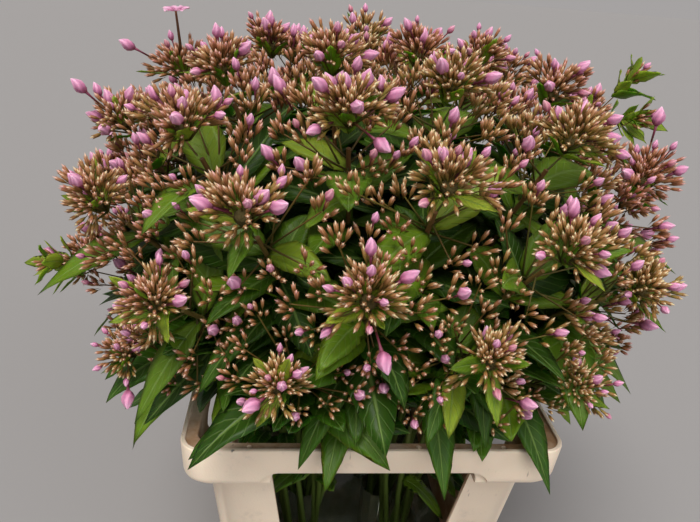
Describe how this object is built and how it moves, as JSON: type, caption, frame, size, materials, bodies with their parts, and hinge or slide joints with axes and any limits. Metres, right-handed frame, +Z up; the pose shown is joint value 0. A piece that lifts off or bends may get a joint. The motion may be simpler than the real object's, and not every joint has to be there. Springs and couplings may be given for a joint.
{
  "type": "potted miss ann garden phlox",
  "caption": "Dome of garden phlox heads in bud over leafy stems, standing in water in a tall rectangular plastic flower container with a window in each side.",
  "frame": {"origin": "the centre of the container's underside, on the surface it stands on", "axes": "+Z up, +X to the right and +Y to the back, seen from the container's narrow front"},
  "size_m": [0.5424, 0.5333, 0.6415],
  "materials": {
    "cream_plastic": "satin",
    "water": "gloss",
    "leaf_green": "matte",
    "phlox_bud": "matte"
  },
  "bodies": {
    "root": {"container": "cream_plastic", "water": "water", "leafy_bunch_1": "leaf_green", "leafy_bunch_2": "leaf_green", "leafy_bunch_3": "leaf_green", "leafy_bunch_4": "leaf_green", "leafy_bunch_5": "leaf_green", "leafy_bunch_6": "leaf_green", "head_01": "phlox_bud", "head_02": "phlox_bud", "head_03": "phlox_bud", "head_04": "phlox_bud", "head_05": "phlox_bud", "head_06": "phlox_bud", "head_07": "phlox_bud", "head_08": "phlox_bud", "head_09": "phlox_bud", "head_10": "phlox_bud", "head_11": "phlox_bud", "head_12": "phlox_bud", "head_13": "phlox_bud", "head_14": "phlox_bud", "head_15": "phlox_bud", "head_16": "phlox_bud", "head_17": "phlox_bud", "head_18": "phlox_bud", "head_19": "phlox_bud", "head_20": "phlox_bud", "head_21": "phlox_bud", "head_22": "phlox_bud", "head_23": "phlox_bud", "head_24": "phlox_bud", "head_25": "phlox_bud", "head_26": "phlox_bud", "head_27": "phlox_bud", "head_28": "phlox_bud", "head_29": "phlox_bud", "head_30": "phlox_bud", "head_31": "phlox_bud", "head_32": "phlox_bud", "head_33": "phlox_bud", "head_34": "phlox_bud", "head_35": "phlox_bud", "head_36": "phlox_bud", "head_37": "phlox_bud", "head_38": "phlox_bud", "head_39": "phlox_bud", "head_40": "phlox_bud", "head_41": "phlox_bud", "head_42": "phlox_bud", "head_43": "phlox_bud", "head_44": "phlox_bud", "head_45": "phlox_bud", "head_46": "phlox_bud", "head_47": "phlox_bud", "head_48": "phlox_bud", "head_49": "phlox_bud", "head_50": "phlox_bud", "head_51": "phlox_bud", "head_52": "phlox_bud"}
  },
  "joints": []
}
